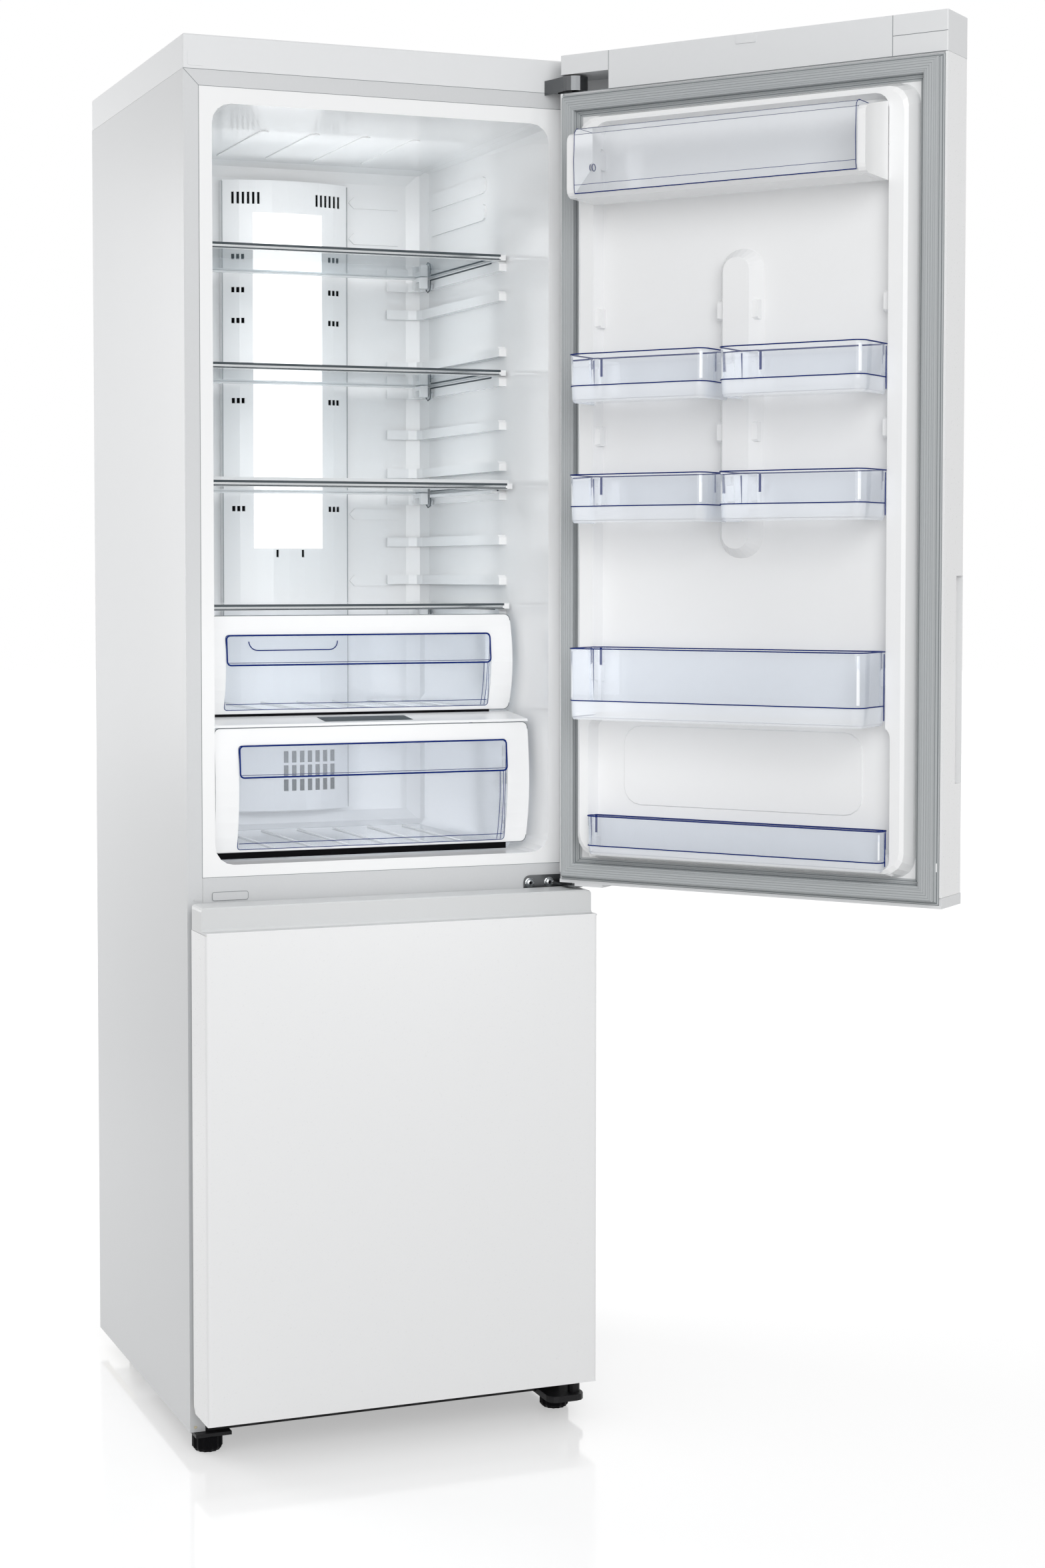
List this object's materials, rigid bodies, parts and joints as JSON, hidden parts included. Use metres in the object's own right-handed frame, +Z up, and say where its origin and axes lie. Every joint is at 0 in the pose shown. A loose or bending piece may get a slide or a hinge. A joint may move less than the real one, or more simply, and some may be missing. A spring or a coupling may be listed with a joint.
{
  "type": "bottom freezer refrigerator",
  "caption": "Free-standing refrigerator with its hinged fridge door standing open over a closed freezer door, with glass shelves, drawers and door bins",
  "frame": {"origin": "on the floor, under the middle of the bounding box of the whole at rest, with the fridge door open", "axes": "+X to the right seen from the front, +Y from the front to the back, +Z up"},
  "size_m": [0.9756, 1.0766, 2.01],
  "materials": {
    "white_paint": "satin",
    "door_paint": "gloss",
    "white_plastic": "satin",
    "grey_plastic": "satin",
    "black_plastic": "matte",
    "clear_plastic": "clear",
    "glass": "clear",
    "steel": "brushed",
    "galvanised": "galvanised",
    "aluminium": "mill",
    "black_steel": "satin",
    "gasket": "matte",
    "foam": "foam",
    "light_diffuser": "opal"
  },
  "bodies": {
    "cabinet": {"cabinet_shell": "white_paint", "top_cover": "white_plastic", "cabinet_insulation": "foam", "fridge_liner": "white_plastic", "freezer_liner": "white_plastic", "cross_rail": "white_paint", "bottom_frame": "galvanised", "back_panel": "galvanised", "duct_panel": "white_plastic", "light_panel": "light_diffuser", "shelf_top_frame": "white_plastic", "shelf_top_glass": "glass", "shelf_second_frame": "white_plastic", "shelf_second_glass": "glass", "shelf_bottom_frame": "white_plastic", "shelf_bottom_glass": "glass", "crisper_cover": "white_plastic", "freezer_duct_cover": "white_plastic", "evaporator": "aluminium", "freezer_drawer_top": "clear_plastic", "freezer_drawer_middle": "clear_plastic", "freezer_drawer_bottom": "clear_plastic", "compressor_base": "galvanised", "compressor": "black_steel", "drip_tray": "black_plastic", "top_hinge": "steel", "top_hinge_cover": "grey_plastic", "middle_hinge": "steel", "bottom_hinge": "black_steel"},
    "evaporator_fan": {"evaporator_fan": "black_plastic"},
    "foot_left": {"foot_left": "black_plastic"},
    "foot_right": {"foot_right": "black_plastic"},
    "roller_left": {"roller_left": "black_plastic"},
    "roller_right": {"roller_right": "black_plastic"},
    "upper_drawer": {"upper_drawer_front": "white_plastic", "upper_drawer_tub": "clear_plastic"},
    "lower_drawer": {"lower_drawer_front": "white_plastic", "lower_drawer_tub": "clear_plastic"},
    "sliding_shelf": {"sliding_shelf_frame": "white_plastic", "sliding_shelf_glass": "glass"},
    "fridge_door": {"fridge_door_skin": "door_paint", "fridge_door_insulation": "foam", "fridge_door_top_cap": "white_plastic", "fridge_door_bottom_cap": "white_plastic", "fridge_door_liner": "white_plastic", "fridge_door_gasket": "gasket", "bin_upper_right": "clear_plastic", "bin_upper_left": "clear_plastic", "bin_lower_right": "clear_plastic", "bin_lower_left": "clear_plastic", "bin_deep": "clear_plastic", "bin_bottom": "clear_plastic", "dairy_box": "white_plastic"},
    "dairy_lid": {"dairy_lid": "clear_plastic"},
    "freezer_door": {"freezer_door_skin": "door_paint", "freezer_door_grip_band": "grey_plastic", "freezer_door_insulation": "foam", "freezer_door_liner": "white_plastic", "freezer_door_gasket": "gasket"}
  },
  "joints": [
    {"name": "fridge_door_hinge", "type": "hinge", "parent": "cabinet", "child": "fridge_door", "pos_m": [0.09447, -0.05425, 0], "axis": [0, 0, 1], "range_deg": [-127.28, 2.72]},
    {"name": "freezer_door_hinge", "type": "hinge", "parent": "cabinet", "child": "freezer_door", "pos_m": [0.09447, -0.05425, 0], "axis": [0, 0, 1], "range_deg": [0, 130]},
    {"name": "upper_drawer_slide", "type": "slide", "parent": "cabinet", "child": "upper_drawer", "axis": [0, -1, 0], "range_m": [0, 0.24]},
    {"name": "lower_drawer_slide", "type": "slide", "parent": "cabinet", "child": "lower_drawer", "axis": [0, -1, 0], "range_m": [0, 0.33]},
    {"name": "sliding_shelf_slide", "type": "slide", "parent": "cabinet", "child": "sliding_shelf", "axis": [0, -1, 0], "range_m": [0, 0.15]},
    {"name": "dairy_lid_hinge", "type": "hinge", "parent": "fridge_door", "child": "dairy_lid", "pos_m": [0.03201, -0.10179, 1.833], "axis": [-0.6057, 0.7957, 0], "range_deg": [0, 75]},
    {"name": "evaporator_fan_shaft", "type": "hinge", "parent": "cabinet", "child": "evaporator_fan", "pos_m": [-0.18928, 0.44426, 0.65], "axis": [0, 1, 0], "continuous": true},
    {"name": "foot_left_screw", "type": "hinge", "parent": "cabinet", "child": "foot_left", "pos_m": [-0.46028, -0.00975, 0], "axis": [0, 0, 1], "continuous": true},
    {"name": "foot_right_screw", "type": "hinge", "parent": "cabinet", "child": "foot_right", "pos_m": [0.08172, -0.00975, 0], "axis": [0, 0, 1], "continuous": true},
    {"name": "roller_left_axle", "type": "hinge", "parent": "cabinet", "child": "roller_left", "pos_m": [-0.43928, 0.48225, 0.02], "axis": [1, 0, 0], "continuous": true},
    {"name": "roller_right_axle", "type": "hinge", "parent": "cabinet", "child": "roller_right", "pos_m": [0.06072, 0.48225, 0.02], "axis": [1, 0, 0], "continuous": true}
  ]
}
